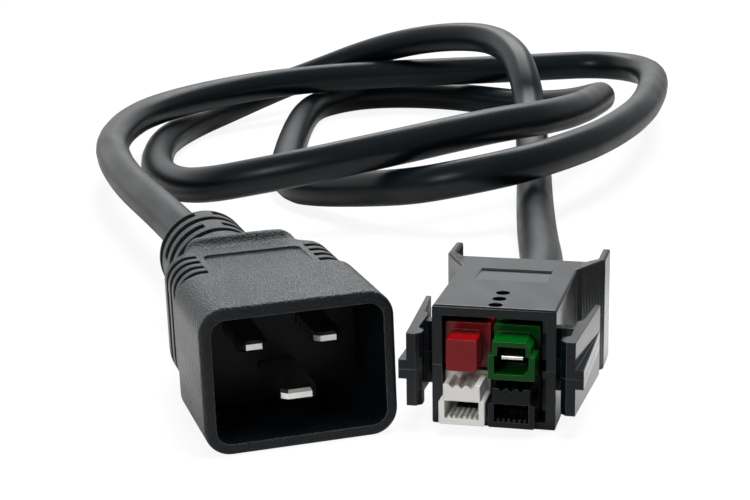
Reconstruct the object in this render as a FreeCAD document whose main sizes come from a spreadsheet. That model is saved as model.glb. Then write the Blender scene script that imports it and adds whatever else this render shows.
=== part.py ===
import FreeCAD, Part
import math
import os
import re
import Sketcher

# Power cord with a three-blade inlet plug at one end and a latching modular connector at the other.
# Millimetres, +Z up. The plug lies along Y and mates towards -Y. The origin is on its flat underside,
# below the middle of the shroud, and the floor is z = 0.

SIZES = {
    # plug shroud, cavity and blades
    "face_setback": 11.0,
    "plug_width": 33.6,
    "plug_height": 25.6,
    "plug_corner": 4.6,
    "shroud_length": 22.5,
    "shroud_wall": 2.0,
    "rim_round": 1.0,
    "cavity_depth": 19.0,
    "blade_thickness": 2.0,
    "live_blade_width": 4.8,
    "earth_blade_width": 6.2,
    "live_blade_inset": 5.6,
    "earth_blade_inset": 1.2,
    "live_blade_spacing": 13.0,
    "live_blade_rise": 3.9,
    "earth_blade_drop": 4.1,
    "blade_tip_bevel": 1.0,
    "blade_edge_bevel": 0.5,
    "blade_fit": 0.05,
    # insert that carries the blades
    "carrier_flange": 2.5,
    "carrier_length": 9.5,
    "carrier_width": 22.0,
    "carrier_height": 15.0,
    "carrier_corner": 2.0,
    "carrier_fit": 0.1,
    # ribbed grip, bare panel and shoulder
    "grip_width": 31.6,
    "grip_length": 15.5,
    "grip_lift": 1.0,
    "grip_top_corner": 4.5,
    "grip_low_corner": 7.0,
    "groove_count": 4,
    "groove_pitch": 3.6,
    "groove_margin": 1.2,
    "groove_width": 1.3,
    "groove_depth": 1.0,
    "groove_reach": 10.1,
    "groove_low": 6.0,
    "panel_width": 18.2,
    "panel_margin": 1.6,
    "panel_length": 11.6,
    "panel_depth": 0.4,
    "panel_corner": 1.6,
    "shoulder_length": 13.5,
    "shoulder_front": 29.4,
    "shoulder_back": 22.0,
    "shoulder_rise": 0.8,
    "shoulder_corner": 6.0,
    "shoulder_round": 3.0,
    # slotted strain relief
    "relief_length": 33.5,
    "relief_diameter": 18.9,
    "relief_lip": 1.5,
    "slot_margin": 3.6,
    "slot_pitch": 5.2,
    "slot_rows": 3,
    "slot_width": 2.0,
    "slot_depth": 2.5,
    "slot_angle": 158.0,
    # cable and cores
    "cable_diameter": 9.0,
    "cable_fit": 0.15,
    "jacket_depth": 29.0,
    "cable_lead_in": 58.0,
    "core_diameter": 3.2,
    "core_fit": 0.1,
    "core_side": 2.0,
    "core_near": 1.15,
    "core_far": 2.3,
    # connector shell, placed by the outer side of its left arm
    "connector_x": 19.7292,
    "connector_y": -8.5,
    "connector_yaw": -30.0,
    "connector_roll": 1.5,
    "shell_length": 32.4,
    "shell_wall": 1.7,
    "shell_roof": 1.8,
    "shell_floor": 1.4,
    "shell_back": 3.2,
    "shell_round": 0.5,
    "guide_margin": 1.0,
    "hold_width": 2.2,
    "hole_diameter": 2.5,
    "hole_margin": 1.9,
    "hole_pitch": 3.7,
    "hole_count": 3,
    "badge_width": 12.9,
    "badge_length": 7.6,
    "badge_margin": 7.9,
    "badge_depth": 0.3,
    # thumb tabs and latch arms, moulded with each half
    "tab_lead": 6.4,
    "tab_run": 8.2,
    "tab_length": 7.7,
    "tab_spread": 4.1,
    "tab_thickness": 1.4,
    "arm_front": 3.5,
    "arm_length": 22.5,
    "arm_height": 12.9,
    "arm_gap": 2.4,
    "arm_thickness": 1.35,
    "arm_lean": 1.3,
    "arm_relief": 0.9,
    "arm_barb": 1.2,
    "barb_length": 2.6,
    "barb_bevel": 1.0,
    "web_start": 6.7,
    "web_length": 2.0,
    "web_height": 11.3,
    "rib_height": 3.4,
    "rib_reach": 1.4,
    # contact modules
    "module_size": 7.9,
    "module_gap": 0.6,
    "module_shift": 0.55,
    "module_fit": 0.1,
    "side_room": 0.2,
    "head_room": 1.6,
    "module_round": 0.3,
    "block_start": 2.0,
    "block_length": 18.0,
    "hood_reach": 6.0,
    "hood_height": 4.2,
    "hood_floor": 1.0,
    "hood_opening": 5.9,
    "hood_bevel": 1.0,
    "tongue_width": 6.3,
    "tongue_height": 2.8,
    "notch_pitch": 1.6,
    "notch_depth": 0.6,
    "ridge_count": 6,
    "ridge_pitch": 0.9,
    "ridge_width": 0.45,
    "ridge_height": 0.4,
    "ridge_setback": 0.5,
    "ridge_length": 4.4,
    "earth_box_width": 6.5,
    "earth_box_height": 2.45,
    "earth_box_wall": 0.85,
    "nose_width": 5.2,
    "nose_height": 5.55,
    "nose_lift": 1.05,
    # contacts, springs and leads inside the modules
    "contact_width": 3.6,
    "contact_thickness": 0.9,
    "contact_setback": 5.0,
    "earth_contact_setback": 0.9,
    "contact_nose": 0.4,
    "barrel_start": 9.0,
    "barrel_length": 10.5,
    "barrel_diameter": 4.4,
    "barrel_height": 3.6,
    "contact_fit": 0.1,
    "spring_start": 1.5,
    "spring_length": 7.0,
    "spring_thickness": 0.4,
    "spring_curve": 3.0,
}

# Derived places along the plug, and around the connector's own axes.
AXIS = "plug_height / 2"
RELIEF_AXIS = "(plug_height + grip_lift) / 2"
SHOULDER_START = "shroud_length + grip_length"
RELIEF_START = SHOULDER_START + " + shoulder_length"
RELIEF_END = RELIEF_START + " + relief_length"
JACKET_START = RELIEF_END + " - jacket_depth"
CARRIER_BACK = "cavity_depth + carrier_flange + carrier_length"
MODULE_PITCH = "(module_size + module_gap)"
MODULE_SPAN = f"({MODULE_PITCH} + module_size)"
SEAM = f"((shell_floor + module_fit + {MODULE_SPAN} + head_room + shell_roof) / 2)"
SHELL_INSIDE = f"(module_shift + {MODULE_SPAN} / 2 + side_room)"
SHELL_SIDE = f"({SHELL_INSIDE} + shell_wall)"
TAB_TIP = SHELL_SIDE + " + tab_spread"
TAB_START = "shell_length - tab_lead"
TAB_KNEE = TAB_START + " + tab_run"
TAB_END = TAB_KNEE + " + tab_length"
ARM_INSIDE = SHELL_SIDE + " + arm_gap"
ARM_OUTSIDE = ARM_INSIDE + " + arm_thickness"
CONNECTOR_PLACE = (
    f"connector_x + ({ARM_OUTSIDE}) * cos(connector_yaw)",
    f"connector_y + ({ARM_OUTSIDE}) * sin(connector_yaw)",
    f"({TAB_TIP}) * sin(connector_roll)",
)
JACKET_END = "shell_length - shell_back - module_fit"
LEFT_COLUMN = f"(-module_shift - {MODULE_PITCH} / 2)"
RIGHT_COLUMN = f"(-module_shift + {MODULE_PITCH} / 2)"
LOWER_ROW = "(shell_floor + module_fit)"
UPPER_ROW = f"({LOWER_ROW} + {MODULE_PITCH})"
BLOCK_END = "block_start + block_length"
MODULE_FRONT = "block_start - hood_reach"

# The cable's route between its two ends, as it lies in two loose turns.
ROUTE = [
    (0, 78, 13.3), (-0.8, 112, 13.4), (-3, 149, 13.1), (-3, 177.5, 13.4), (-1, 201.5, 13.7),
    (6, 225, 14), (16.5, 246, 14), (34, 262.5, 14), (54.5, 274, 14), (73.5, 278.5, 14),
    (94.5, 277.5, 14), (116.5, 272, 14), (136.5, 266, 14), (153.5, 263, 14), (167, 259.5, 14),
    (175.5, 249.5, 14), (176.5, 233, 14.2), (165, 206.5, 14.8), (142, 166.5, 15.6), (117, 135.5, 16.3),
    (98, 120, 16.7), (83.5, 111.5, 16.4), (70.5, 112, 14.8), (59.5, 118, 12.2), (51, 133.5, 9),
    (43.5, 148, 6.5), (40.5, 162, 5), (42.5, 182, 4.6), (53, 218, 4.6), (65, 254, 4.6),
    (75, 276.5, 4.6), (84.5, 285, 4.6), (97, 290.5, 4.6), (110.5, 288, 4.6), (122, 280, 4.6),
    (130.5, 267, 4.6), (139, 248, 4.8), (146.5, 229.5, 7), (149.5, 212.5, 11.5), (141.5, 194.5, 15),
    (123, 164.5, 18.5), (104.5, 143, 21.3), (90, 134.5, 22.5), (75.5, 128, 22.5), (62.5, 125, 21.6),
    (49.5, 125.5, 20), (36, 128, 17.8), (24, 132.5, 15.3), (14.5, 140, 12.8), (9.5, 153.5, 10.5),
    (8, 173, 8.5), (9.5, 195, 7), (13.5, 218.5, 5.7), (21.5, 247.5, 4.6), (36, 271, 4.6),
    (49.5, 287.5, 5), (61.5, 294.5, 7.4), (72.5, 297, 10.6), (83.5, 294.5, 14.2), (95, 288, 19.1),
    (106.5, 275, 24), (117.5, 259, 27), (125, 242, 27.7), (124.5, 220, 25.5), (122.5, 204.5, 20),
    (120, 195, 14), (113, 175.5, 9.3), (103, 148, 6.7), (88.5, 110, 6.7), (74.5, 72, 9),
]

doc = FreeCAD.newDocument("power_cord")
sheet = doc.addObject("Spreadsheet::Sheet", "Sizes")
for row, (alias, number) in enumerate(SIZES.items(), start=1):
    sheet.set(f"A{row}", alias)
    sheet.set(f"B{row}", str(number))
    sheet.setAlias(f"B{row}", alias)
doc.recompute()

NORMAL_SIGN = {"XY_Plane": 1, "XZ_Plane": -1, "YZ_Plane": 1}
SUBPARTS = []
TOLERANCE = 0.001
BEND_SHARE = 0.45    # part of the shorter run that an arc of the cable takes up


def size(expression):
    """The present value of an expression of sheet aliases."""
    return float(sheet.evalExpression(expression))


def bind(thing, path, expression):
    """Tie a property to the sheet."""
    thing.setExpression(path, re.sub(r"\b([a-z]+(?:_[a-z]+)+)\b", r"Sizes.\1", expression))


def new_body(label):
    body = doc.addObject("PartDesign::Body", label)
    body.Label = label
    SUBPARTS.append(body)
    return body


def new_sketch(body, name, role, at="0", rise="0"):
    """A sketch on one of the body's origin planes, moved to a place along that plane's axis."""
    sketch = body.newObject("Sketcher::SketchObject", name)
    plane = next(feature for feature in body.Origin.OriginFeatures if feature.Role == role)
    sketch.AttachmentSupport = [(plane, "")]
    sketch.MapMode = "FlatFace"
    bind(sketch, "AttachmentOffset.Base.y", rise)
    bind(sketch, "AttachmentOffset.Base.z", f"{NORMAL_SIGN[role]} * ({at})")
    return sketch


def bind_place(sketch, geometry, vertex, x, y):
    for kind, expression in (("DistanceX", x), ("DistanceY", y)):
        index = sketch.addConstraint(Sketcher.Constraint(kind, -1, 1, geometry, vertex, size(expression)))
        bind(sketch, f"Constraints[{index}]", expression)


def add_round(sketch, corner, place, before, after, directions):
    """A tangent arc across a corner whose sharp point stays tied to the sheet."""
    into, away = directions
    radius = size(corner[2])
    half_turn = into.getAngle(away) / 2
    centre = place + (into + away).normalize() * (radius / math.sin(half_turn))
    trim = radius / math.tan(half_turn)
    ends = [place + into * trim - centre, place + away * trim - centre]
    left_turn = into.cross(away).z < 0
    if not left_turn:
        ends.reverse()
    start, stop = [math.atan2(end.y, end.x) for end in ends]
    if stop < start:
        stop += 2 * math.pi
    circle = Part.Circle(centre, FreeCAD.Vector(0, 0, 1), radius)
    arc = sketch.addGeometry(Part.ArcOfCircle(circle, start, stop))
    point = sketch.addGeometry(Part.Point(place), True)
    into_end, away_end = (1, 2) if left_turn else (2, 1)
    sketch.addConstraint(Sketcher.Constraint("Tangent", before, 2, arc, into_end))
    sketch.addConstraint(Sketcher.Constraint("Tangent", after, 1, arc, away_end))
    sketch.addConstraint(Sketcher.Constraint("PointOnObject", point, 1, before))
    sketch.addConstraint(Sketcher.Constraint("PointOnObject", point, 1, after))
    index = sketch.addConstraint(Sketcher.Constraint("Radius", arc, radius))
    bind(sketch, f"Constraints[{index}]", corner[2])
    bind_place(sketch, point, 1, corner[0], corner[1])


def add_outline(sketch, corners):
    """A closed outline of straight sides; a corner is (x, y) or (x, y, radius)."""
    places = [FreeCAD.Vector(size(corner[0]), size(corner[1]), 0) for corner in corners]
    count = len(corners)
    into, away, starts, ends = [], [], [], []
    for index, corner in enumerate(corners):
        into.append((places[index - 1] - places[index]).normalize())
        away.append((places[(index + 1) % count] - places[index]).normalize())
        radius = size(corner[2]) if len(corner) > 2 else 0
        trim = radius / math.tan(into[index].getAngle(away[index]) / 2)
        ends.append(places[index] + into[index] * trim)
        starts.append(places[index] + away[index] * trim)
    lines = []
    for index in range(count):
        side = Part.LineSegment(starts[index], ends[(index + 1) % count])
        lines.append(sketch.addGeometry(side))
    for index, corner in enumerate(corners):
        before, after = lines[index - 1], lines[index]
        if len(corner) > 2:
            add_round(sketch, corner, places[index], before, after, (into[index], away[index]))
        else:
            sketch.addConstraint(Sketcher.Constraint("Coincident", before, 2, after, 1))
            bind_place(sketch, after, 1, corner[0], corner[1])


def add_circle(sketch, x, y, diameter):
    centre = FreeCAD.Vector(size(x), size(y), 0)
    radius = size(diameter) / 2
    circle = sketch.addGeometry(Part.Circle(centre, FreeCAD.Vector(0, 0, 1), radius))
    index = sketch.addConstraint(Sketcher.Constraint("Diameter", circle, 2 * radius))
    bind(sketch, f"Constraints[{index}]", diameter)
    bind_place(sketch, circle, 3, x, y)


def box_corners(left, right, low, high, *radius):
    return [(left, low, *radius), (right, low, *radius), (right, high, *radius), (left, high, *radius)]


def mirrored(corners):
    """The same outline on the other side of the middle plane."""
    return [(f"-({corner[0]})", *corner[1:]) for corner in corners]


def outline(body, name, role, corners, at="0", rise="0"):
    sketch = new_sketch(body, name, role, at, rise)
    add_outline(sketch, corners)
    return sketch


def pair(body, name, role, corners, at="0"):
    """One outline and its mirror image, in one sketch."""
    sketch = outline(body, name, role, corners, at)
    add_outline(sketch, mirrored(corners))
    return sketch


def disc(body, name, role, x, y, diameter, at="0"):
    sketch = new_sketch(body, name, role, at)
    add_circle(sketch, x, y, diameter)
    return sketch


def extrude(body, kind, name, sketch, length, flip=False):
    feature = body.newObject("PartDesign::" + kind, name)
    feature.Profile = sketch
    bind(feature, "Length", length)
    feature.Reversed = flip
    sketch.Visibility = False
    return feature


def pad(body, name, sketch, length, flip=False):
    return extrude(body, "Pad", name, sketch, length, flip)


def pocket(body, name, sketch, length, flip=False):
    return extrude(body, "Pocket", name, sketch, length, flip)


def pad_back(body, name, sketch, length):
    """A pad from an XZ sketch towards +Y."""
    return pad(body, name, sketch, length, flip=True)


def spread(feature):
    """The feature runs evenly to both sides of its sketch."""
    feature.SideType = "Symmetric"
    return feature


def loft(body, kind, name, first, last):
    feature = body.newObject("PartDesign::" + kind, name)
    feature.Profile = first
    feature.Sections = [last]
    return feature


def spin(body, kind, name, sketch, axis, angle):
    feature = body.newObject("PartDesign::" + kind, name)
    feature.Profile = sketch
    feature.ReferenceAxis = (sketch, [axis])
    bind(feature, "Angle", angle)
    return feature


def soften(body, kind, name, base, keep, amount):
    """Fillet or chamfer the edges of base for which keep is true."""
    doc.recompute()
    edges = [f"Edge{number}" for number, edge in enumerate(base.Shape.Edges, start=1) if keep(edge)]
    feature = body.newObject("PartDesign::" + kind, name)
    feature.Base = (base, edges)
    bind(feature, "Radius" if kind == "Fillet" else "Size", amount)
    return feature


def near(number, expression):
    return abs(number - size(expression)) < TOLERANCE


def lies_at_y(edge, expression):
    return near(edge.BoundBox.YMin, expression) and near(edge.BoundBox.YMax, expression)


def lies_at_z(edge, expression):
    return near(edge.BoundBox.ZMin, expression) and near(edge.BoundBox.ZMax, expression)


def grip_section():
    half = "grip_width / 2"
    return [
        (f"-{half}", "grip_lift", "grip_low_corner"),
        (half, "grip_lift", "grip_low_corner"),
        (half, "plug_height", "grip_top_corner"),
        (f"-{half}", "plug_height", "grip_top_corner"),
    ]


def relief_slots(body, name, sketch, axis):
    """Rows of paired slots: one slot turned to the opposite side, then repeated along the relief."""
    slot = spin(body, "Groove", name, sketch, axis, "slot_angle")
    slot.Midplane = True
    turned = body.newObject("PartDesign::PolarPattern", name + "Pair")
    turned.Axis = (sketch, [axis])
    turned.Occurrences = 2
    repeated = body.newObject("PartDesign::LinearPattern", name + "Rows")
    repeated.Direction = (sketch, [axis])
    repeated.Reversed = True
    bind(repeated, "Length", "2 * slot_pitch * (slot_rows - 1)")
    bind(repeated, "Occurrences", "slot_rows")
    group = body.newObject("PartDesign::MultiTransform", name + "Group")
    group.Originals = [slot]
    group.Transformations = [turned, repeated]
    body.Tip = group


def blade_places():
    """Name, middle x, middle z, width and inset of the tip for each blade."""
    side = "live_blade_spacing / 2"
    live = (f"{AXIS} + live_blade_rise", "live_blade_width", "live_blade_inset")
    return [
        ("line", f"-{side}", *live),
        ("neutral", side, *live),
        ("earth", "0", f"{AXIS} - earth_blade_drop", "earth_blade_width", "earth_blade_inset"),
    ]


# Where each core sits in the jacket, about the cable's axis, at the plug end.
PLUG_CORES = {
    "line": ("-core_side", "core_near"),
    "neutral": ("core_side", "core_near"),
    "earth": ("0", "-core_far"),
}


def core_loft(body, kind, name, start, stop, diameter):
    """A slanted round rod between two (x, y, z) places."""
    first = disc(body, name + "Start", "XZ_Plane", start[0], start[2], diameter, start[1])
    last = disc(body, name + "Stop", "XZ_Plane", stop[0], stop[2], diameter, stop[1])
    return loft(body, kind, name, first, last)


def make_overmould():
    """Plug body in one moulding: shroud, ribbed grip, shoulder and slotted strain relief."""
    body = new_body("plug_overmould")
    low = "grip_lift + shoulder_rise"
    plan = outline(body, "ShoulderPlan", "XY_Plane", [
        ("-shoulder_front / 2", SHOULDER_START),
        ("shoulder_front / 2", SHOULDER_START),
        ("shoulder_back / 2", RELIEF_START, "shoulder_corner"),
        ("-shoulder_back / 2", RELIEF_START, "shoulder_corner"),
    ], low)
    shoulder = pad(body, "Shoulder", plan, f"plug_height - ({low})")
    upright = lambda edge: edge.BoundBox.ZLength > TOLERANCE
    outer_edges = lambda edge: not upright(edge) and not lies_at_y(edge, SHOULDER_START)
    soften(body, "Fillet", "ShoulderRound", shoulder, outer_edges, "shoulder_round")
    half = "plug_width / 2"
    rim_corners = box_corners(f"-{half}", half, "0", "plug_height", "plug_corner")
    rim = outline(body, "RimOutline", "XZ_Plane", rim_corners)
    pad_back(body, "Shroud", rim, "shroud_length")
    grip = outline(body, "GripOutline", "XZ_Plane", grip_section(), "shroud_length")
    pad_back(body, "Grip", grip, "grip_length")

    relief = [
        (SHOULDER_START, "0"),
        (RELIEF_END, "0"),
        (RELIEF_END, "relief_diameter / 2 - relief_lip"),
        (f"{RELIEF_END} - relief_lip", "relief_diameter / 2"),
        (SHOULDER_START, "relief_diameter / 2"),
    ]
    relief_outline = outline(body, "ReliefOutline", "YZ_Plane", relief, rise=RELIEF_AXIS)
    spin(body, "Revolution", "Relief", relief_outline, "H_Axis", "360")

    inner = "plug_width / 2 - shroud_wall"
    cavity = box_corners(f"-({inner})", inner, "shroud_wall", "plug_height - shroud_wall",
                         "plug_corner - shroud_wall")
    cavity_outline = outline(body, "CavityOutline", "XZ_Plane", cavity)
    hollow = pocket(body, "Cavity", cavity_outline, "cavity_depth + carrier_flange")
    rim_edges = lambda edge: lies_at_y(edge, "0") and not inside_cavity(edge)
    soften(body, "Fillet", "RimRound", hollow, rim_edges, "rim_round")

    seat = "carrier_width / 2 + carrier_fit"
    seat_low = f"{AXIS} - carrier_height / 2 - carrier_fit"
    seat_high = f"{AXIS} + carrier_height / 2 + carrier_fit"
    seat_corners = box_corners(f"-({seat})", seat, seat_low, seat_high, "carrier_corner")
    seat_outline = outline(body, "SeatOutline", "XZ_Plane", seat_corners, "cavity_depth")
    pocket(body, "CarrierSeat", seat_outline, "carrier_flange + carrier_length")

    deep_side = "grip_width / 2 - groove_depth"
    deep_top = "plug_height - groove_depth"
    groove = [
        ("groove_reach", "plug_height + groove_depth"),
        ("groove_reach", deep_top),
        (deep_side, deep_top, "grip_top_corner - groove_depth"),
        (deep_side, "groove_low"),
        ("grip_width / 2 + groove_depth", "groove_low"),
        ("grip_width / 2 + groove_depth", "plug_height + groove_depth"),
    ]
    groove_outline = pair(body, "GrooveOutline", "XZ_Plane", groove, "shroud_length + groove_margin")
    first_groove = pocket(body, "Groove", groove_outline, "groove_width")
    grooves = body.newObject("PartDesign::LinearPattern", "Grooves")
    grooves.Originals = [first_groove]
    grooves.Direction = (groove_outline, ["N_Axis"])
    grooves.Reversed = True
    bind(grooves, "Length", "groove_pitch * (groove_count - 1)")
    bind(grooves, "Occurrences", "groove_count")
    body.Tip = grooves

    front = "shroud_length + panel_margin"
    back = "shroud_length + panel_margin + panel_length"
    panel = [
        (front, "plug_height"),
        (back, "plug_height - panel_depth"),
        (back, "plug_height + panel_depth"),
        (front, "plug_height + panel_depth"),
    ]
    panel_outline = outline(body, "PanelOutline", "YZ_Plane", panel)
    recess = spread(pocket(body, "Panel", panel_outline, "panel_width"))
    in_recess = lambda edge: abs(edge.BoundBox.XMin) < size("groove_reach")
    back_corners = lambda edge: upright(edge) and in_recess(edge) and lies_at_y(edge, back)
    soften(body, "Fillet", "PanelRound", recess, back_corners, "panel_corner")

    low = "relief_diameter / 2 - slot_depth"
    high = "relief_diameter / 2 + slot_depth"
    row = f"{RELIEF_END} - slot_margin"
    side_slot = box_corners(low, high, f"{row} - slot_width / 2", f"{row} + slot_width / 2")
    side_outline = outline(body, "SideSlotOutline", "XY_Plane", side_slot, RELIEF_AXIS)
    relief_slots(body, "SideSlot", side_outline, "V_Axis")
    row = f"{RELIEF_END} - slot_margin - slot_pitch"
    top_slot = box_corners(f"{row} - slot_width / 2", f"{row} + slot_width / 2", low, high)
    top_outline = outline(body, "TopSlotOutline", "YZ_Plane", top_slot, rise=RELIEF_AXIS)
    relief_slots(body, "TopSlot", top_outline, "H_Axis")

    bore_diameter = "cable_diameter + 2 * cable_fit"
    bore = disc(body, "JacketOutline", "XZ_Plane", "0", RELIEF_AXIS, bore_diameter, JACKET_START)
    pocket(body, "JacketBore", bore, "jacket_depth")
    for name, x, z, width, inset in blade_places():
        side, up = PLUG_CORES[name]
        start = (x, CARRIER_BACK, z)
        stop = (side, JACKET_START, f"{RELIEF_AXIS} + {up}")
        core_loft(body, "SubtractiveLoft", name.title() + "Bore", start, stop, "core_diameter + 2 * core_fit")
    seat_plug(body)


def inside_cavity(edge):
    """True for an edge on the cavity's mouth, which lies within the shroud wall."""
    reach = size("plug_width / 2 - shroud_wall") + TOLERANCE
    low = size("shroud_wall") - TOLERANCE
    high = size("plug_height - shroud_wall") + TOLERANCE
    box = edge.BoundBox
    return box.XMin > -reach and box.XMax < reach and box.ZMin > low and box.ZMax < high


def make_carrier():
    """Insert at the back of the cavity: a flange and a block with three blade slots."""
    body = new_body("pin_carrier")
    reach = "plug_width / 2 - shroud_wall - carrier_fit"
    low = "shroud_wall + carrier_fit"
    high = "plug_height - shroud_wall - carrier_fit"
    flange = box_corners(f"-({reach})", reach, low, high, "plug_corner - shroud_wall - carrier_fit")
    flange_outline = outline(body, "FlangeOutline", "XZ_Plane", flange, "cavity_depth")
    pad_back(body, "Flange", flange_outline, "carrier_flange")
    half = "carrier_width / 2"
    low = f"{AXIS} - carrier_height / 2"
    high = f"{AXIS} + carrier_height / 2"
    block = box_corners(f"-{half}", half, low, high, "carrier_corner - carrier_fit")
    block_outline = outline(body, "BlockOutline", "XZ_Plane", block, "cavity_depth")
    pad_back(body, "Block", block_outline, "carrier_flange + carrier_length")
    slots = new_sketch(body, "BladeSlots", "XZ_Plane", "cavity_depth")
    for name, x, z, width, inset in blade_places():
        across = f"({width} / 2 + blade_fit)"
        thick = "(blade_thickness / 2 + blade_fit)"
        slot = box_corners(f"{x} - {across}", f"{x} + {across}", f"{z} - {thick}", f"{z} + {thick}")
        add_outline(slots, slot)
    pocket(body, "Slots", slots, "carrier_flange + carrier_length")
    seat_plug(body)


def make_blade(name, x, z, width, inset):
    """Flat blade with a bevelled tip, from its inset to the back of the carrier."""
    body = new_body(name + "_pin")
    blade = [
        (f"{x} - {width} / 2", f"{inset} + blade_tip_bevel"),
        (f"{x} - {width} / 2 + blade_tip_bevel", inset),
        (f"{x} + {width} / 2 - blade_tip_bevel", inset),
        (f"{x} + {width} / 2", f"{inset} + blade_tip_bevel"),
        (f"{x} + {width} / 2", CARRIER_BACK),
        (f"{x} - {width} / 2", CARRIER_BACK),
    ]
    blade_outline = outline(body, "BladeOutline", "XY_Plane", blade, z)
    solid = spread(pad(body, "Blade", blade_outline, "blade_thickness"))
    tip_limit = size(f"{inset} + blade_tip_bevel") + TOLERANCE

    def on_tip(edge):
        flat = edge.BoundBox.ZLength < TOLERANCE
        return flat and edge.BoundBox.YMax < tip_limit

    soften(body, "Chamfer", "TipBevel", solid, on_tip, "blade_edge_bevel")
    seat_plug(body)


def make_core(name, x, z):
    """Insulated core inside the plug, from the blade's tail to the jacket's end."""
    side, up = PLUG_CORES[name]
    start = (x, f"{CARRIER_BACK} + core_fit", z)
    stop = (side, f"{JACKET_START} - core_fit", f"{RELIEF_AXIS} + {up}")
    body = new_body(name + "_core")
    core_loft(body, "AdditiveLoft", "Core", start, stop, "core_diameter")
    seat_plug(body)


def seat_plug(body):
    """Move a body that is drawn from the mating face back to its place over the origin."""
    bind(body, "Placement.Base.y", "-face_setback")


def in_connector(x, y, z):
    """A place in the connector's own axes, as a place in the part's frame."""
    base = FreeCAD.Vector(*[size(place) for place in CONNECTOR_PLACE])
    yaw = FreeCAD.Rotation(FreeCAD.Vector(0, 0, 1), size("connector_yaw"))
    roll = FreeCAD.Rotation(FreeCAD.Vector(0, 1, 0), size("connector_roll"))
    return FreeCAD.Placement(base, yaw * roll).multVec(FreeCAD.Vector(x, y, z))


def make_cable():
    """Jacketed cable: straight runs joined by tangent arcs, each as large as its runs allow."""
    start = FreeCAD.Vector(0, size(JACKET_START + " - face_setback"), size(RELIEF_AXIS))
    lead_in = in_connector(0, size("cable_lead_in"), size(SEAM))
    end = in_connector(0, size(JACKET_END), size(SEAM))
    points = [start] + [FreeCAD.Vector(*place) for place in ROUTE] + [lead_in, end]
    edges = []
    radii = []
    here = points[0]
    for before, corner, after in zip(points, points[1:], points[2:]):
        into = before - corner
        away = after - corner
        half_turn = (math.pi - into.getAngle(away)) / 2
        trim = BEND_SHARE * min(into.Length, away.Length)
        radius = trim / math.tan(half_turn)
        radii.append(round(radius, 1))
        into.normalize()
        away.normalize()
        middle = corner + (into + away).normalize() * (radius / math.cos(half_turn) - radius)
        edges.append(Part.LineSegment(here, corner + into * trim).toShape())
        edges.append(Part.Arc(corner + into * trim, middle, corner + away * trim).toShape())
        here = corner + away * trim
    edges.append(Part.LineSegment(here, points[-1]).toShape())
    path = Part.Wire(edges)
    radius = size("cable_diameter / 2")
    ring = Part.Wire(Part.Circle(start, points[1] - start, radius).toShape())
    cable = doc.addObject("Part::Feature", "cable")
    cable.Shape = path.makePipeShell([ring], True, False)
    SUBPARTS.append(cable)
    expected = math.pi * radius * radius * path.Length
    print("bend radii", radii)
    print("cable length", round(path.Length, 1), "volume over section times length",
          round(cable.Shape.Volume / expected, 5))


def turn_about(axis, angle):
    return f"create(<<rotation>>; create(<<vector>>; {axis}); {angle})"


def place_at(x, y, z, turn):
    return f"create(<<placement>>; create(<<vector>>; {x}; {y}; {z}); {turn})"


def seat_in_connector(body, height="0", roll="0"):
    """Place a body that is drawn in the connector's own axes, as it lies with a slight roll."""
    lie = f"{turn_about('0; 0; 1', 'connector_yaw')} * {turn_about('0; 1; 0', 'connector_roll')}"
    seat = place_at(*CONNECTOR_PLACE, lie)
    within = place_at("0", "0", height, turn_about("0; 1; 0", roll))
    bind(body, "Placement", f"{seat} * {within}")


def shell_plan():
    """Plan of a shell half with its two thumb tabs."""
    right = [
        (SHELL_SIDE, "0"),
        (SHELL_SIDE, TAB_START),
        (TAB_TIP, TAB_KNEE),
        (TAB_TIP, TAB_END),
        (f"{TAB_TIP} - tab_thickness", TAB_END),
        (f"{TAB_TIP} - tab_thickness", f"{TAB_KNEE} + tab_thickness / 2"),
        (f"{SHELL_SIDE} + tab_thickness / 2", "shell_length"),
    ]
    return right + mirrored(right)[::-1]


def arm_plan():
    """Plan of the right latch arm: barbed nose, stiff front and thin leaning tail."""
    rear = "arm_length - arm_front"
    step = "web_start + web_length"
    return [
        (f"{ARM_INSIDE} - arm_barb", "barb_bevel - arm_front"),
        (f"{ARM_INSIDE} - arm_barb + barb_bevel", "-arm_front"),
        (ARM_OUTSIDE, "-arm_front"),
        (f"{ARM_OUTSIDE} + arm_lean", rear),
        (f"{ARM_INSIDE} + arm_lean + arm_relief / 2", rear),
        (f"{ARM_INSIDE} + arm_relief", f"{step} + arm_relief"),
        (ARM_INSIDE, step),
        (ARM_INSIDE, "barb_length - arm_front + arm_barb"),
        (f"{ARM_INSIDE} - arm_barb", "barb_length - arm_front"),
    ]


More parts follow.
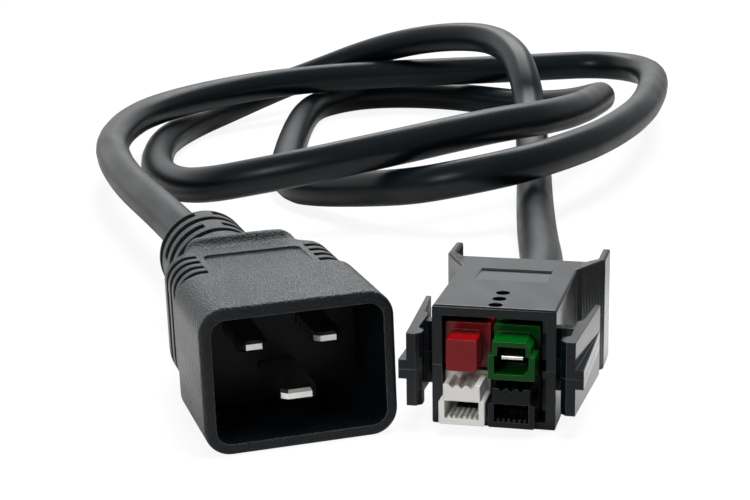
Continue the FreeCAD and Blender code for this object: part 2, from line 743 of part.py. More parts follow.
def make_shell(label, wall, hand, roll):
    """One half of the connector shell, drawn upwards from the seam, with half of both latch arms."""
    body = new_body(label)
    plan = outline(body, "Plan", "XY_Plane", shell_plan())
    block = pad(body, "Block", plan, SEAM)
    top_edges = lambda edge: lies_at_z(edge, SEAM)
    soften(body, "Fillet", "TopRound", block, top_edges, "shell_round")
    arm = pair(body, "ArmPlan", "XY_Plane", arm_plan())
    pad(body, "Arms", arm, "arm_height / 2")
    web = box_corners(f"{SHELL_SIDE} - shell_wall / 2", f"{ARM_INSIDE} + arm_thickness / 2",
                      "web_start", "web_start + web_length")
    pad(body, "Webs", pair(body, "WebPlan", "XY_Plane", web), "web_height / 2")
    rear = "arm_length - arm_front"
    rib = [
        (f"{ARM_OUTSIDE} - arm_thickness / 2", "-arm_front"),
        (f"{ARM_OUTSIDE} + rib_reach", "-arm_front"),
        (f"{ARM_OUTSIDE} + rib_reach", "web_start"),
        (f"{ARM_OUTSIDE} + arm_lean", rear),
    ]
    pad(body, "Ribs", pair(body, "RibPlan", "XY_Plane", rib), "rib_height / 2")

    inside = box_corners(f"-{SHELL_INSIDE}", SHELL_INSIDE, "-shell_wall", "shell_length - shell_back")
    pocket(body, "Hollow", outline(body, "HollowPlan", "XY_Plane", inside), f"{SEAM} - {wall}", flip=True)
    back = "shell_length - shell_back - shell_wall"
    entry = disc(body, "EntryOutline", "XZ_Plane", "0", "0", "cable_diameter + 2 * cable_fit", back)
    pocket(body, "CableEntry", entry, "shell_back + 2 * shell_wall")
    guide_edge = f"{RIGHT_COLUMN} + module_size / 2 + module_fit"
    guide = box_corners(f"{hand} * ({guide_edge})", f"{hand} * ({SHELL_INSIDE} + shell_wall / 2)",
                        "block_start + guide_margin", BLOCK_END)
    guide_plan = outline(body, "GuidePlan", "XY_Plane", guide, "guide_margin")
    pad(body, "Guide", guide_plan, f"{SEAM} - guide_margin - {wall} / 2")
    seat_in_connector(body, SEAM, roll)
    return body


def finish_upper_shell(body):
    """Vent holes, bare badge recess and the ribs that hold the upper modules down."""
    holes = new_sketch(body, "HolePlan", "XY_Plane", SEAM)
    for number in range(int(size("hole_count"))):
        add_circle(holes, "0", f"hole_margin + {number} * hole_pitch", "hole_diameter")
    pocket(body, "Holes", holes, "shell_roof")
    back = "shell_length - badge_margin"
    front = f"{back} - badge_length"
    badge = [
        (front, SEAM),
        (back, f"{SEAM} - badge_depth"),
        (back, f"{SEAM} + badge_depth"),
        (front, f"{SEAM} + badge_depth"),
    ]
    spread(pocket(body, "Badge", outline(body, "BadgeOutline", "YZ_Plane", badge), "badge_width"))
    hold_low = f"{UPPER_ROW} + module_size + module_fit - {SEAM}"
    for name, column in (("Left", LEFT_COLUMN), ("Right", RIGHT_COLUMN)):
        hold = box_corners(f"{column} - hold_width / 2", f"{column} + hold_width / 2",
                           "hole_margin + hole_count * hole_pitch", BLOCK_END)
        hold_plan = outline(body, name + "HoldPlan", "XY_Plane", hold, hold_low)
        pad(body, name + "Hold", hold_plan, f"{SEAM} - shell_roof / 2 - ({hold_low})")


def module_block(body, column, row):
    """The square block that every module has behind its nose."""
    half = "module_size / 2"
    block = box_corners(f"{column} - {half}", f"{column} + {half}", row, f"{row} + module_size",
                        "module_round")
    pad_back(body, "Block", outline(body, "BlockOutline", "XZ_Plane", block, "block_start"), "block_length")


def hood_corners(column, row):
    half = "module_size / 2"
    high = f"{row} + hood_height"
    return box_corners(f"{column} - {half}", f"{column} + {half}", row, high, "module_round")


def front_pad(body, name, corners):
    """A piece of a module's nose, from its front face back into the block."""
    front = outline(body, name + "Outline", "XZ_Plane", corners, MODULE_FRONT)
    pad_back(body, name, front, "hood_reach + module_round")


def bore_module(body, column, row):
    """The contact's way through the module, and the wider hole for its barrel."""
    barrel = disc(body, "BarrelOutline", "XZ_Plane", column, f"{row} + barrel_height",
                  "barrel_diameter + 2 * contact_fit", "barrel_start - contact_fit")
    pocket(body, "BarrelBore", barrel, f"{BLOCK_END} - barrel_start + contact_fit")


def make_spacer(column, row):
    """Solid blank module with a plain nose."""
    body = new_body("red_spacer")
    module_block(body, column, row)
    half = "nose_width / 2"
    low = f"{row} + nose_lift"
    high = f"{row} + nose_lift + nose_height"
    nose = box_corners(f"{column} - {half}", f"{column} + {half}", low, high, "module_round")
    front_pad(body, "Nose", nose)
    seat_in_connector(body)


def make_tongue_housing(label, column, row):
    """Contact module with a hooded opening, ridged inside, under a notched tongue."""
    body = new_body(label)
    module_block(body, column, row)
    front_pad(body, "Hood", hood_corners(column, row))
    low = f"{row} + hood_height - module_round"
    high = f"{row} + hood_height + tongue_height"
    tongue = [
        (f"{column} - tongue_width / 2", low),
        (f"{column} + tongue_width / 2", low),
        (f"{column} + tongue_width / 2", high),
    ]
    for step in (1, 0, -1):
        middle = f"{column} + {step} * notch_pitch"
        tongue.append((f"{middle} + notch_depth", high))
        tongue.append((middle, f"{high} - notch_depth"))
        tongue.append((f"{middle} - notch_depth", high))
    tongue.append((f"{column} - tongue_width / 2", high))
    front_pad(body, "Tongue", tongue)
    opening = box_corners(f"{column} - hood_opening / 2", f"{column} + hood_opening / 2",
                          f"{row} + hood_floor", f"{row} + hood_height")
    way = outline(body, "OpeningOutline", "XZ_Plane", opening, MODULE_FRONT)
    pocket(body, "Opening", way, "hood_reach + block_length")
    ridges = new_sketch(body, "RidgeOutline", "XZ_Plane", f"{MODULE_FRONT} + ridge_setback")
    for number in range(int(size("ridge_count"))):
        middle = f"{column} + ({number} - (ridge_count - 1) / 2) * ridge_pitch"
        ridge = box_corners(f"{middle} - ridge_width / 2", f"{middle} + ridge_width / 2",
                            f"{row} + hood_floor / 2", f"{row} + hood_floor + ridge_height")
        add_outline(ridges, ridge)
    pad_back(body, "Ridges", ridges, "ridge_length")
    bore_module(body, column, row)
    seat_in_connector(body)


def make_earth_housing(column, row):
    """Contact module with an open hood and a hooded box above it."""
    body = new_body("earth_housing")
    module_block(body, column, row)
    front_pad(body, "Hood", hood_corners(column, row))
    low = f"{row} + hood_height - module_round"
    high = f"{row} + hood_height + earth_box_height"
    side = "earth_box_width / 2"
    front_pad(body, "Box", [
        (f"{column} - {side}", low),
        (f"{column} + {side}", low),
        (f"{column} + {side}", f"{high} - hood_bevel"),
        (f"{column} + {side} - hood_bevel", high),
        (f"{column} - {side}", high),
    ])
    edge = "hood_opening / 2"
    floor = f"{row} + hood_floor"
    opening = [
        (f"{column} - {edge}", floor),
        (f"{column} + {edge} - hood_bevel", floor),
        (f"{column} + {edge}", f"{floor} + hood_bevel"),
        (f"{column} + {edge}", f"{row} + hood_height"),
        (f"{column} - {edge}", f"{row} + hood_height"),
    ]
    way = outline(body, "OpeningOutline", "XZ_Plane", opening, MODULE_FRONT)
    pocket(body, "Opening", way, "hood_reach + block_length")
    inner = "(earth_box_width / 2 - earth_box_wall)"
    window = box_corners(f"{column} - {inner}", f"{column} + {inner}",
                         f"{row} + hood_height - module_round", f"{high} - earth_box_wall")
    pocket(body, "Window", outline(body, "WindowOutline", "XZ_Plane", window, MODULE_FRONT), "hood_reach")
    bore_module(body, column, row)
    seat_in_connector(body)


def make_contact(label, column, row, setback):
    """Silvered strip with a rounded nose, and the crimp barrel behind it."""
    body = new_body(label)
    high = f"{row} + hood_height - contact_fit"
    low = f"{row} + hood_height - contact_fit - contact_thickness"
    front = f"{MODULE_FRONT} + {setback}"
    strip = [
        (front, high, "contact_nose"),
        ("barrel_start + contact_thickness", high),
        ("barrel_start + contact_thickness", low),
        (front, low, "contact_nose"),
    ]
    strip_outline = outline(body, "StripOutline", "YZ_Plane", strip, column)
    spread(pad(body, "Strip", strip_outline, "contact_width"))
    barrel = disc(body, "BarrelOutline", "XZ_Plane", column, f"{row} + barrel_height",
                  "barrel_diameter", "barrel_start")
    pad_back(body, "Barrel", barrel, "barrel_length")
    seat_in_connector(body)


def make_spring(label, column, row):
    """Bowed leaf between the module's floor and the contact."""
    body = new_body(label)
    low = f"{row} + hood_floor + contact_fit"
    peak = f"{row} + hood_height - 2 * contact_fit - contact_thickness"
    start = "spring_start"
    middle = "spring_start + spring_length / 2"
    stop = "spring_start + spring_length"
    bow = [
        (start, low),
        (f"{start} + spring_thickness", low),
        (middle, f"{peak} - spring_thickness", "spring_curve"),
        (f"{stop} - spring_thickness", low),
        (stop, low),
        (stop, f"{low} + spring_thickness / 2"),
        (middle, f"{peak} + spring_thickness / 2", "spring_curve + spring_thickness"),
        (start, f"{low} + spring_thickness / 2"),
    ]
    bow_outline = outline(body, "BowOutline", "YZ_Plane", bow, column)
    spread(pad(body, "Leaf", bow_outline, "contact_width"))
    seat_in_connector(body)


def make_lead(label, column, row, side, up):
    """Core inside the connector, from the crimp barrel to the jacket's end."""
    body = new_body(label)
    start = (column, "barrel_start + barrel_length + core_fit", f"{row} + barrel_height")
    stop = (side, f"{JACKET_END} - core_fit", f"{SEAM} + {up}")
    core_loft(body, "AdditiveLoft", "Lead", start, stop, "core_diameter")
    seat_in_connector(body)


# Plug end.
make_overmould()
make_carrier()
for blade in blade_places():
    make_blade(*blade)
    make_core(*blade[:3])

# Cable.
make_cable()

# Connector end.
finish_upper_shell(make_shell("upper_shell", "shell_roof", 1, "0"))
make_shell("lower_shell", "shell_floor", -1, "180")
make_spacer(LEFT_COLUMN, UPPER_ROW)
make_earth_housing(RIGHT_COLUMN, UPPER_ROW)
make_tongue_housing("neutral_housing", LEFT_COLUMN, LOWER_ROW)
make_tongue_housing("line_housing", RIGHT_COLUMN, LOWER_ROW)
POLES = [
    ("earth", RIGHT_COLUMN, UPPER_ROW, "earth_contact_setback", "0", "core_far"),
    ("neutral", LEFT_COLUMN, LOWER_ROW, "contact_setback", "-core_side", "-core_near"),
    ("line", RIGHT_COLUMN, LOWER_ROW, "contact_setback", "core_side", "-core_near"),
]
for pole, column, row, setback, side, up in POLES:
    make_contact(pole + "_contact", column, row, setback)
    make_spring(pole + "_spring", column, row)
    make_lead(pole + "_lead", column, row, side, up)

doc.recompute()
faults = [thing.Name for thing in doc.Objects if {"Invalid", "Error"} & set(thing.State)]
for subpart in SUBPARTS:
    if subpart.Shape.isNull() or not subpart.Shape.isValid() or not subpart.Shape.Solids:
        faults.append(subpart.Label)
if faults:
    raise RuntimeError("failed: " + ", ".join(faults))
os.makedirs("parts", exist_ok=True)
for subpart in SUBPARTS:
    subpart.Shape.exportStep(f"parts/{subpart.Label}.step")
    print(subpart.Label, len(subpart.Shape.Solids), "solid", round(subpart.Shape.Volume, 1), "mm3")
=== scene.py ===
import math

import bmesh
import bpy
from mathutils import Matrix, Vector


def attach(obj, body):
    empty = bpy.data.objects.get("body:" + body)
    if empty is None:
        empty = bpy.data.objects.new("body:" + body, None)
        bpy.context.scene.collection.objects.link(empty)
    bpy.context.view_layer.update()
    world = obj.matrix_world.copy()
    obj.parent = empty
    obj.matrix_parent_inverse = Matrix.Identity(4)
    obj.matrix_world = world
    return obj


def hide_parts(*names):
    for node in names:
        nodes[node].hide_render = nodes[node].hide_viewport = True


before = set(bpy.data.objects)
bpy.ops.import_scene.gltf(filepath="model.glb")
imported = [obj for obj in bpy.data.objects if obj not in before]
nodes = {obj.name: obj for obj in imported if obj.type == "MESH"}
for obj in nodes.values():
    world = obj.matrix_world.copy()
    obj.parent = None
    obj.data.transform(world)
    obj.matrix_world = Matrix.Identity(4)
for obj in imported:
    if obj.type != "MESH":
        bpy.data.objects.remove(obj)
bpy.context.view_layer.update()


# Cable: three stranded cores in a round jacket of flexible black PVC, extruded to 9 mm. It leaves the
# plug's strain relief, lies in two loose turns over itself and ends inside the back of the connector.
CABLE_DIAMETER = 0.009
CABLE_ROUTE = [
    (0, 0.045, 0.0133), (0, 0.078, 0.0133), (-0.0013, 0.112, 0.0134), (-0.0035, 0.149, 0.0131),
    (-0.0033, 0.1775, 0.0134), (-0.0008, 0.2015, 0.0137), (0.0065, 0.225, 0.014), (0.0168, 0.245, 0.014),
    (0.034, 0.262, 0.014), (0.0545, 0.274, 0.014), (0.0735, 0.2785, 0.014), (0.0945, 0.2775, 0.014),
    (0.1165, 0.272, 0.014), (0.1365, 0.266, 0.014), (0.1535, 0.263, 0.014), (0.167, 0.2595, 0.014),
    (0.1748, 0.2495, 0.014), (0.1755, 0.233, 0.0142), (0.1646, 0.2065, 0.0148), (0.1424, 0.1665, 0.0156),
    (0.1173, 0.135, 0.0163), (0.098, 0.1188, 0.0167), (0.0835, 0.111, 0.0164), (0.0705, 0.112, 0.0148),
    (0.0599, 0.1192, 0.0122), (0.0517, 0.136, 0.009), (0.0445, 0.1515, 0.0065), (0.0416, 0.164, 0.005),
    (0.0431, 0.182, 0.0046), (0.0537, 0.218, 0.0046), (0.0655, 0.254, 0.0046), (0.0756, 0.2785, 0.0046),
    (0.0853, 0.288, 0.0046), (0.0975, 0.2925, 0.0046), (0.1105, 0.288, 0.0046), (0.122, 0.278, 0.0046),
    (0.1305, 0.265, 0.0046), (0.139, 0.248, 0.0048), (0.1465, 0.2295, 0.0075), (0.1495, 0.2125, 0.0121),
    (0.1415, 0.1945, 0.0153), (0.123, 0.1645, 0.0185), (0.1045, 0.143, 0.0213), (0.09, 0.1345, 0.0225),
    (0.0755, 0.128, 0.0225), (0.0625, 0.125, 0.0216), (0.0495, 0.1255, 0.02), (0.036, 0.128, 0.0178),
    (0.024, 0.1325, 0.0156), (0.0147, 0.14, 0.0131), (0.0103, 0.1535, 0.0106), (0.009, 0.173, 0.0085),
    (0.0104, 0.195, 0.007), (0.0144, 0.2185, 0.0057), (0.022, 0.2475, 0.0046), (0.036, 0.271, 0.0046),
    (0.0495, 0.2875, 0.005), (0.0615, 0.2945, 0.0074), (0.0725, 0.297, 0.0104), (0.0835, 0.2945, 0.014),
    (0.095, 0.288, 0.0189), (0.1065, 0.275, 0.024), (0.1177, 0.259, 0.0273), (0.126, 0.242, 0.0281),
    (0.1255, 0.22, 0.0256), (0.1225, 0.2045, 0.02), (0.12, 0.195, 0.014), (0.113, 0.1755, 0.0093),
    (0.103, 0.148, 0.0067), (0.0885, 0.11, 0.0067), (0.0745, 0.072, 0.009), (0.06144, 0.03439, 0.01103),
    (0.04699, 0.00936, 0.01103),
]


def colour(code):
    """Linear colour of an sRGB hex value."""
    parts = [int(code[place:place + 2], 16) / 255 for place in (0, 2, 4)]
    return [part / 12.92 if part <= 0.04045 else ((part + 0.055) / 1.055) ** 2.4 for part in parts] + [1]


def add_node(material, kind, inputs={}, **settings):
    """Add a node with its settings; each input is a value, or the output that feeds it."""
    node = material.node_tree.nodes.new("ShaderNode" + kind)
    for name, value in settings.items():
        setattr(node, name, value)
    for name, value in inputs.items():
        if isinstance(value, bpy.types.NodeSocket):
            material.node_tree.links.new(value, node.inputs[name])
        else:
            node.inputs[name].default_value = value
    return node


def new_material(name):
    material = bpy.data.materials.new(name)
    material.use_nodes = True
    return material, material.node_tree.nodes["Principled BSDF"]


def moulded_plastic(name, code, ior, roughness, grain, grain_depth, edge):
    """Plastic from a mould: a fine grain, edges rounded with a painted highlight along them, gloss uneven
    from handling.
    """
    handling = 0.006
    drawn_out = (1, 0.3, 1)
    uneven = 0.04
    edge_highlight_grey = colour("c8c8c8")
    most_edge_highlight = 0.12
    material, surface = new_material(name)
    place = add_node(material, "TexCoord").outputs["Object"]
    drawn = add_node(material, "Mapping", {"Vector": place, "Scale": drawn_out})
    fine = add_node(material, "TexNoise", {
        "Vector": drawn.outputs["Vector"], "Scale": 1 / grain, "Detail": 1.0})
    worn = add_node(material, "TexNoise", {
        "Vector": drawn.outputs["Vector"], "Scale": 1 / handling, "Detail": 2.0})
    gloss = add_node(material, "MapRange", {
        "Value": worn.outputs["Fac"], "From Min": 0.3, "From Max": 0.7,
        "To Min": roughness - uneven, "To Max": roughness + uneven})
    rounded = add_node(material, "Bevel", {"Radius": edge}, samples=6)
    flat = add_node(material, "NewGeometry")
    turn = add_node(material, "VectorMath", {
        0: rounded.outputs["Normal"], 1: flat.outputs["Normal"]}, operation="DOT_PRODUCT")
    # Painted highlight along edges: the colour goes light grey where the rounded normal turns from the flat
    # one.
    painted_edge_highlight = add_node(material, "MapRange", {
        "Value": turn.outputs["Value"], "From Min": 0.98, "From Max": 0.85, "To Max": most_edge_highlight})
    shade = add_node(material, "Mix", {
        "Factor": painted_edge_highlight.outputs["Result"], "A": colour(code), "B": edge_highlight_grey}, data_type="RGBA")
    bump = add_node(material, "Bump", {
        "Height": fine.outputs["Fac"], "Distance": grain_depth, "Normal": rounded.outputs["Normal"]})
    surface.inputs["IOR"].default_value = ior
    links = material.node_tree.links
    links.new(shade.outputs["Result"], surface.inputs["Base Color"])
    links.new(gloss.outputs["Result"], surface.inputs["Roughness"])
    links.new(bump.outputs["Normal"], surface.inputs["Normal"])
    return material


# To the eye the jacket is a dull blue-black with one long soft sheen, a little uneven along the cable.
jacket_pvc = moulded_plastic(
    "jacket_pvc", "050b0f", ior=1.31, roughness=0.33, grain=0.0004, grain_depth=0.00001, edge=0)
curve = bpy.data.curves.new("cable_jacket", "CURVE")
curve.dimensions = "3D"
curve.resolution_u = 14
curve.bevel_depth = CABLE_DIAMETER / 2
curve.bevel_resolution = 8
curve.use_fill_caps = True
spline = curve.splines.new("NURBS")
spline.points.add(len(CABLE_ROUTE) - 1)
for point, place in zip(spline.points, CABLE_ROUTE):
    point.co = (*place, 1)
spline.order_u = 3
spline.use_endpoint_u = True
spline.use_smooth = True
curve.materials.append(jacket_pvc)
jacket = bpy.data.objects.new("cable_jacket", curve)
bpy.context.scene.collection.objects.link(jacket)
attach(jacket, "root")
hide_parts("cable")


# Plug body: flexible black PVC moulded round the pins and the cable's end in one shot. A merged copy of the
# CAD mesh takes its place, with wider grooves in the grip, wider slots in the strain relief, and a shoulder
# that narrows behind the grip, dips and comes up to a raised collar.
MERGE = 0.000001
WALL_FIT = 0.00001
# First wall, pitch, width, number, and how far each wall moves outwards.
GRIP_GROOVES = (0.0127, 0.0036, 0.0013, 4, 0.0003)
RELIEF_SLOTS = (0.0434, 0.0052, 0.002, 6, 0.00045)
# Place along the plug, height over the CAD shoulder, and share of its width.
COLLAR = [
    (0.0272, 0, 1), (0.0285, -0.00015, 0.965), (0.03, -0.0003, 0.92), (0.0313, -0.00025, 0.88),
    (0.0322, 0, 0.85), (0.0329, 0.00035, 0.825), (0.0334, 0.0007, 0.81), (0.0338, 0.0009, 0.8),
    (0.0342, 0.00098, 0.795), (0.035, 0.00098, 0.79), (0.0355, 0.0008, 0.79), (0.036, 0.0003, 0.79),
    (0.0365, -0.0003, 0.8), (0.0375, -0.0006, 0.84), (0.0392, -0.0006, 0.91), (0.0403, 0, 1),
]
# The skin moves out from a square about the plug's axis. The bores inside it stay, and so does its underside.
FADE_LOW = 0.006
FADE_HIGH = 0.014
PLUG_AXIS = 0.0133
FLAT_HALF = 0.0065
SKIN_RADIUS = 0.0095
CREASE = math.radians(30)
# To the eye the plug is a charcoal with an even spark-eroded grain that breaks up its broad grey sheen.
plug_pvc = moulded_plastic(
    "plug_pvc", "070f14", ior=1.36, roughness=0.33, grain=0.00025, grain_depth=0.0003, edge=0.00035)
mesh = bmesh.new()
mesh.from_mesh(nodes["plug_overmould"].data)
bmesh.ops.remove_doubles(mesh, verts=mesh.verts, dist=MERGE)
for first, pitch, width, number, spread in (GRIP_GROOVES, RELIEF_SLOTS):
    for row in range(number):
        for point in mesh.verts:
            reach = point.co.y - (first + pitch * row + width / 2)
            if abs(abs(reach) - width / 2) < WALL_FIT:
                point.co.y += math.copysign(spread, reach)
for station, _, _ in COLLAR:
    bmesh.ops.bisect_plane(mesh, geom=mesh.verts[:] + mesh.edges[:] + mesh.faces[:], dist=MERGE,
                           plane_co=(0, station, 0), plane_no=(0, 1, 0))
for point in mesh.verts:
    x, y, z = point.co
    across = Vector((x, 0, z - PLUG_AXIS))
    inner = Vector([min(max(part, -FLAT_HALF), FLAT_HALF) for part in across])
    fade = min(max((z - FADE_LOW) / (FADE_HIGH - FADE_LOW), 0), 1)
    for (before, low, wide), (after, high, narrow) in zip(COLLAR, COLLAR[1:]):
        if before < y <= after and across.length > SKIN_RADIUS:
            part = (y - before) / (after - before)
            point.co += (across - inner).normalized() * (low + (high - low) * part) * fade
            point.co.x *= wide + (narrow - wide) * part
bmesh.ops.triangulate(mesh, faces=mesh.faces)
for face in mesh.faces:
    face.smooth = True
for edge in mesh.edges:
    edge.smooth = edge.is_manifold and edge.calc_face_angle() < CREASE
moulding = bpy.data.meshes.new("plug_moulding")
mesh.to_mesh(moulding)
mesh.free()
moulding.materials.append(plug_pvc)
plug_body = bpy.data.objects.new("plug_moulding", moulding)
bpy.context.scene.collection.objects.link(plug_body)
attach(plug_body, "root")
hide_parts("plug_overmould")


def paint(material, *names):
    """Give CAD nodes a material in place of what they came with."""
    for name in names:
        nodes[name].data.materials.clear()
        nodes[name].data.materials.append(material)


# Pin carrier: a stiff black insert that holds the three pins square at the back of the shroud. It is moulded
# first, and the plug body is then moulded round it.
# To the eye it is the dull, almost black ground that the pins stand out from.
carrier_plastic = moulded_plastic(
    "carrier_plastic", "040608", ior=1.27, roughness=0.4, grain=0.0005, grain_depth=0.00003, edge=0.0003)
paint(carrier_plastic, "pin_carrier")


# Pins: flat blades stamped from brass strip, with coined tips, nickel plated. They are pressed into the
# carrier, and their tails are joined to the cores behind it.
def plated_strip(name, code, bright, dull):
    """Metal strip, rolled and plated: fine lines run along it, and thin tarnish makes its gloss uneven."""
    line_width = 0.0004
    line_stretch = (1, 0.05, 1)
    tarnish = 0.003
    tarnish_grey = colour("8f8a80")
    most_tarnish = 0.25
    material, surface = new_material(name)
    place = add_node(material, "TexCoord").outputs["Object"]
    along = add_node(material, "Mapping", {"Vector": place, "Scale": line_stretch})
    lines = add_node(material, "TexNoise", {
        "Vector": along.outputs["Vector"], "Scale": 1 / line_width, "Detail": 3.0})
    polish = add_node(material, "MapRange", {"Value": lines.outputs["Fac"], "To Min": bright, "To Max": dull})
    cloud = add_node(material, "TexNoise", {"Vector": place, "Scale": 1 / tarnish, "Detail": 3.0})
    film = add_node(material, "MapRange", {
        "Value": cloud.outputs["Fac"], "From Min": 0.4, "From Max": 0.75, "To Max": most_tarnish})
    shade = add_node(material, "Mix", {
        "Factor": film.outputs["Result"], "A": colour(code), "B": tarnish_grey}, data_type="RGBA")
    surface.inputs["Metallic"].default_value = 1.0
    links = material.node_tree.links
    links.new(shade.outputs["Result"], surface.inputs["Base Color"])
    links.new(polish.outputs["Result"], surface.inputs["Roughness"])
    return material


# To the eye the nickel is a clean, bright white metal, the brightest thing in the dark shroud.
nickel = plated_strip("nickel_plate", "e6e4df", bright=0.12, dull=0.3)
paint(nickel, "line_pin", "neutral_pin", "earth_pin")


# Cores: stranded copper in coloured PVC. One length of each runs inside the plug from the pin's tail to the
# jacket, and one inside the connector from the jacket to the contact's crimp.
# To the eye the insulation is a plain satin brown, blue or green, which only an opened end shows.
for pole, code in (("line", "5b3a21"), ("neutral", "2a6fb5"), ("earth", "5f8f2c")):
    insulation = moulded_plastic(
        pole + "_insulation", code, ior=1.4, roughness=0.4, grain=0.0005, grain_depth=0.00001, edge=0.0002)
    paint(insulation, pole + "_core", pole + "_lead")


# Connector shell: two halves of black polycarbonate, split at mid height and clipped over the modules. Each
# is one moulding with its latch arms and thumb tabs, and fine ribs give the thumb a hold on the tabs.
CONNECTOR_PLACE = (0.0322, -0.0157, 0.000386)
CONNECTOR_TURN = (0, math.radians(1.5), math.radians(-30))
RIB_PITCH = 0.00045
RIB_HEIGHT = 0.00003
TAB_SIDE = 0.0109
RIBS_START = 0.0275
RIBS_END = 0.034
# To the eye the shell is a polished black that mirrors the studio in clear greys, with fine lines on tabs.
shell_plastic = moulded_plastic(
    "shell_polycarbonate", "070f14", ior=1.36, roughness=0.12,
    grain=0.0006, grain_depth=0.000008, edge=0.0003)
place = add_node(shell_plastic, "TexCoord")
own = add_node(shell_plastic, "Mapping", {
    "Vector": place.outputs["Object"], "Location": CONNECTOR_PLACE, "Rotation": CONNECTOR_TURN},
    vector_type="TEXTURE")
split = add_node(shell_plastic, "SeparateXYZ", {"Vector": own.outputs["Vector"]})
phase = add_node(shell_plastic, "Math", {
    0: split.outputs["Y"], 1: 2 * math.pi / RIB_PITCH}, operation="MULTIPLY")
wave = add_node(shell_plastic, "Math", {0: phase.outputs["Value"]}, operation="SINE")
side = add_node(shell_plastic, "Math", {0: split.outputs["X"]}, operation="ABSOLUTE")
on_tab = add_node(shell_plastic, "Math", {0: side.outputs["Value"], 1: TAB_SIDE}, operation="GREATER_THAN")
on_flare = add_node(shell_plastic, "Math", {
    0: split.outputs["Y"], 1: (RIBS_START + RIBS_END) / 2, 2: (RIBS_END - RIBS_START) / 2},
    operation="COMPARE")
ribbed = add_node(shell_plastic, "Math", {
    0: on_tab.outputs["Value"], 1: on_flare.outputs["Value"]}, operation="MULTIPLY")
ribs = add_node(shell_plastic, "Math", {
    0: wave.outputs["Value"], 1: ribbed.outputs["Value"]}, operation="MULTIPLY")
rib_bump = add_node(shell_plastic, "Bump", {
    "Height": ribs.outputs["Value"], "Distance": RIB_HEIGHT,
    "Normal": shell_plastic.node_tree.nodes["Bevel"].outputs["Normal"]})
grain_bump = shell_plastic.node_tree.nodes["Bump"]
shell_plastic.node_tree.links.new(rib_bump.outputs["Normal"], grain_bump.inputs["Normal"])
paint(shell_plastic, "upper_shell", "lower_shell")


# Contact modules: square polycarbonate housings, one colour for each pole, and a red blank that keys the
# connector. They lie two by two between the shell's halves, which hold them with guides and ribs.
# To the eye they are clear, satin signal colours with crisp edges against the black shell.
for name, code, ior in (("red_spacer", "7c050d", 1.36), ("earth_housing", "00470f", 1.25),
                        ("neutral_housing", "e9e8e4", 1.36), ("line_housing", "050b0f", 1.28)):
    module_plastic = moulded_plastic(
        name + "_polycarbonate", code, ior, roughness=0.2, grain=0.0006, grain_depth=0.000006, edge=0.0002)
    paint(module_plastic, name)


# Contacts and springs: silver-plated copper strips with crimped barrels. Each lies in its housing and is
# pressed by a bowed leaf of steel between it and the housing's floor.
# To the eye the silver is a soft, warm white metal with a thin tarnish, and the steel a dark grey beneath it.
silver = plated_strip("silver_plate", "dedcd6", bright=0.16, dull=0.34)
steel = plated_strip("spring_steel", "55565a", bright=0.2, dull=0.4)
for pole in ("line", "neutral", "earth"):
    paint(silver, pole + "_contact")
    paint(steel, pole + "_spring")


# Floor: a sheet of matt white paper under the cord. To the camera it is an even white, a little darker where
# the cord shades it. Gloss and bounced light see its colour with a painted pool of light round the plug and
# painted shade at the right front.
FLOOR_HALF = 3.0
CAMERA_WHITE = 0.85
MIRROR_WHITE = 0.1
PAPER_GLOW = 1.06
TO_LEFT_BACK = (-0.8, 0.6, 0)
PAINTED_SHADE_END = -0.07
PAINTED_SHADE_START = -0.05
PAINTED_POOL_MIDDLE = (0.01, 0.05, 0)
PAINTED_POOL_RADIUS = 0.07
PAINTED_POOL_FADE = 0.095
sheet = bpy.data.meshes.new("studio_floor")
mesh = bmesh.new()
bmesh.ops.create_grid(mesh, x_segments=1, y_segments=1, size=FLOOR_HALF)
mesh.to_mesh(sheet)
mesh.free()
floor = bpy.data.objects.new("studio_floor", sheet)
bpy.context.scene.collection.objects.link(floor)
# To the eye the paper is a plain white ground that carries a faint shadow.
white_paper = bpy.data.materials.new("white_paper")
white_paper.use_nodes = True
white_paper.node_tree.nodes.clear()
ray = add_node(white_paper, "LightPath")
mirrored = add_node(white_paper, "Math", {
    0: ray.outputs["Is Glossy Ray"], 1: ray.outputs["Is Transmission Ray"]}, operation="ADD")
in_mirror = add_node(white_paper, "Math", {
    0: mirrored.outputs["Value"], 1: MIRROR_WHITE}, operation="MULTIPLY")
whiteness = add_node(white_paper, "Math", {
    0: ray.outputs["Is Camera Ray"], 1: CAMERA_WHITE, 2: in_mirror.outputs["Value"]},
    operation="MULTIPLY_ADD")
place = add_node(white_paper, "TexCoord")
# Painted shade: the paper's colour turns dark grey towards the right front.
leftward = add_node(white_paper, "VectorMath", {
    0: place.outputs["Object"], 1: TO_LEFT_BACK}, operation="DOT_PRODUCT")
painted_shade_falloff = add_node(white_paper, "MapRange", {
    "Value": leftward.outputs["Value"], "From Min": PAINTED_SHADE_END, "From Max": PAINTED_SHADE_START},
    interpolation_type="SMOOTHSTEP")
painted_shade_tone = add_node(white_paper, "Mix", {
    "Factor": painted_shade_falloff.outputs["Result"], "A": colour("444444"), "B": colour("9c9c9c")}, data_type="RGBA")
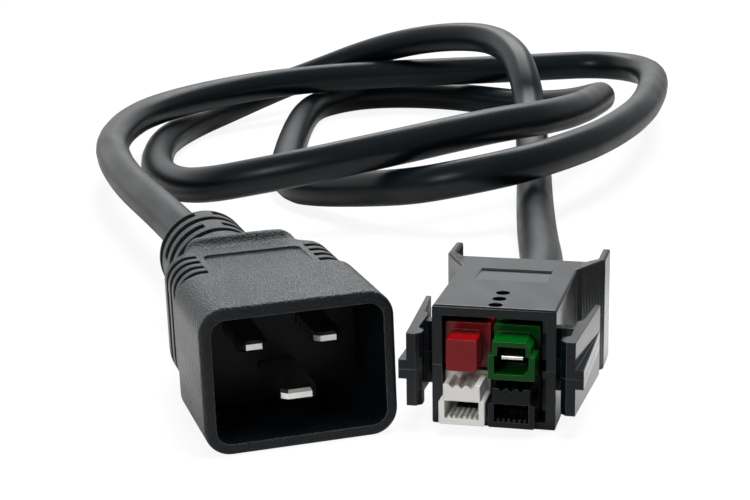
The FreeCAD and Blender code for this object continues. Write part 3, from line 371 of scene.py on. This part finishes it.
# Painted light: a pool of lighter colour round the plug; the camera sees that lighter colour everywhere.
distance = add_node(white_paper, "VectorMath", {
    0: place.outputs["Object"], 1: PAINTED_POOL_MIDDLE}, operation="DISTANCE")
painted_light_pool = add_node(white_paper, "MapRange", {
    "Value": distance.outputs["Value"], "From Min": PAINTED_POOL_FADE, "From Max": PAINTED_POOL_RADIUS},
    interpolation_type="SMOOTHSTEP")
painted_pool_unless_camera = add_node(white_paper, "Math", {
    0: painted_light_pool.outputs["Result"], 1: ray.outputs["Is Camera Ray"]}, operation="MAXIMUM")
painted_light_colour = add_node(white_paper, "Mix", {
    "Factor": painted_pool_unless_camera.outputs["Value"], "A": painted_shade_tone.outputs["Result"], "B": colour("c8c8c8")}, data_type="RGBA")
matt = add_node(white_paper, "BsdfDiffuse", {"Color": painted_light_colour.outputs["Result"]})
glow = add_node(white_paper, "Emission", {"Strength": PAPER_GLOW})
lift = add_node(white_paper, "MixShader", {
    "Fac": whiteness.outputs["Value"], 1: matt.outputs["BSDF"], 2: glow.outputs["Emission"]})
add_node(white_paper, "OutputMaterial", {"Surface": lift.outputs["Shader"]})
sheet.materials.append(white_paper)


# Light: a white studio that is bright behind the cord and gets dark towards the camera, a soft box above that
# the gloss doesn't show, one behind at the right, and a small fill from the left front.
STUDIO_BACK = (-0.3, 0.95, 0)
BACK_FADE = 0.2
BACK_FULL = 0.75
BACK_WHITE = 0.95
MIRROR_LEAST = 0.3
world = bpy.data.worlds.new("studio")
world.use_nodes = True
bpy.context.scene.world = world
ray = add_node(world, "LightPath")
direction = add_node(world, "TexCoord")
backward = add_node(world, "VectorMath", {
    0: direction.outputs["Generated"], 1: STUDIO_BACK}, operation="DOT_PRODUCT")
depth = add_node(world, "MapRange", {
    "Value": backward.outputs["Value"], "From Min": BACK_FADE, "From Max": BACK_FULL, "To Max": BACK_WHITE})
mirrored = add_node(world, "Math", {
    0: ray.outputs["Is Glossy Ray"], 1: ray.outputs["Is Transmission Ray"]}, operation="ADD")
dim = add_node(world, "Math", {0: mirrored.outputs["Value"], 1: MIRROR_LEAST}, operation="MULTIPLY")
white = add_node(world, "Math", {0: ray.outputs["Is Camera Ray"], 1: dim.outputs["Value"]}, operation="ADD")
strength = add_node(world, "Math", {
    0: depth.outputs["Result"], 1: white.outputs["Value"]}, operation="MAXIMUM")
background = world.node_tree.nodes["Background"]
world.node_tree.links.new(strength.outputs["Value"], background.inputs["Strength"])
background.inputs["Color"].default_value = (1, 1, 1, 1)


def add_lamp(name, place, aim, width, height, power):
    """A soft box at a place, turned to face a point."""
    light = bpy.data.lights.new(name, "AREA")
    light.shape = "RECTANGLE"
    light.size = width
    light.size_y = height
    light.energy = power
    lamp = bpy.data.objects.new(name, light)
    lamp.location = place
    lamp.rotation_euler = (Vector(aim) - Vector(place)).to_track_quat("-Z", "Y").to_euler()
    bpy.context.scene.collection.objects.link(lamp)
    return lamp


overhead = add_lamp(
    "soft_box", place=(0.15, 0.0, 0.7), aim=(0.05, 0.05, 0), width=0.5, height=0.4, power=9.5)
overhead.visible_glossy = False
add_lamp("back_box", place=(0.3, 0.75, 0.55), aim=(0.05, 0.1, 0), width=0.5, height=0.4, power=2.5)
add_lamp("front_fill", place=(-0.55, -0.5, 0.5), aim=(0.02, 0, 0), width=0.3, height=0.3, power=2.5)


# Camera: the photograph's place, a little left of the plug's axis and just above it. It was solved from the
# plug's shroud and blades, which are of known size.
CAMERA_PLACE = (-0.06547, -0.29337, 0.1092)
AZIMUTH = math.radians(15.68)
PITCH = math.radians(14.62)
ROLL = math.radians(-2.4)
FOCAL_PIXELS = 1820
IMAGE_WIDTH = 750
lens = bpy.data.cameras.new("camera")
lens.sensor_fit = "HORIZONTAL"
lens.sensor_width = 36.0
lens.lens = lens.sensor_width * FOCAL_PIXELS / IMAGE_WIDTH
lens.clip_start = 0.01
camera = bpy.data.objects.new("camera", lens)
camera.matrix_world = (Matrix.Translation(CAMERA_PLACE) @ Matrix.Rotation(-AZIMUTH, 4, "Z")
                       @ Matrix.Rotation(math.pi / 2 - PITCH, 4, "X") @ Matrix.Rotation(ROLL, 4, "Z"))
bpy.context.scene.collection.objects.link(camera)
bpy.context.scene.camera = camera
bpy.context.scene.view_settings.view_transform = "Standard"
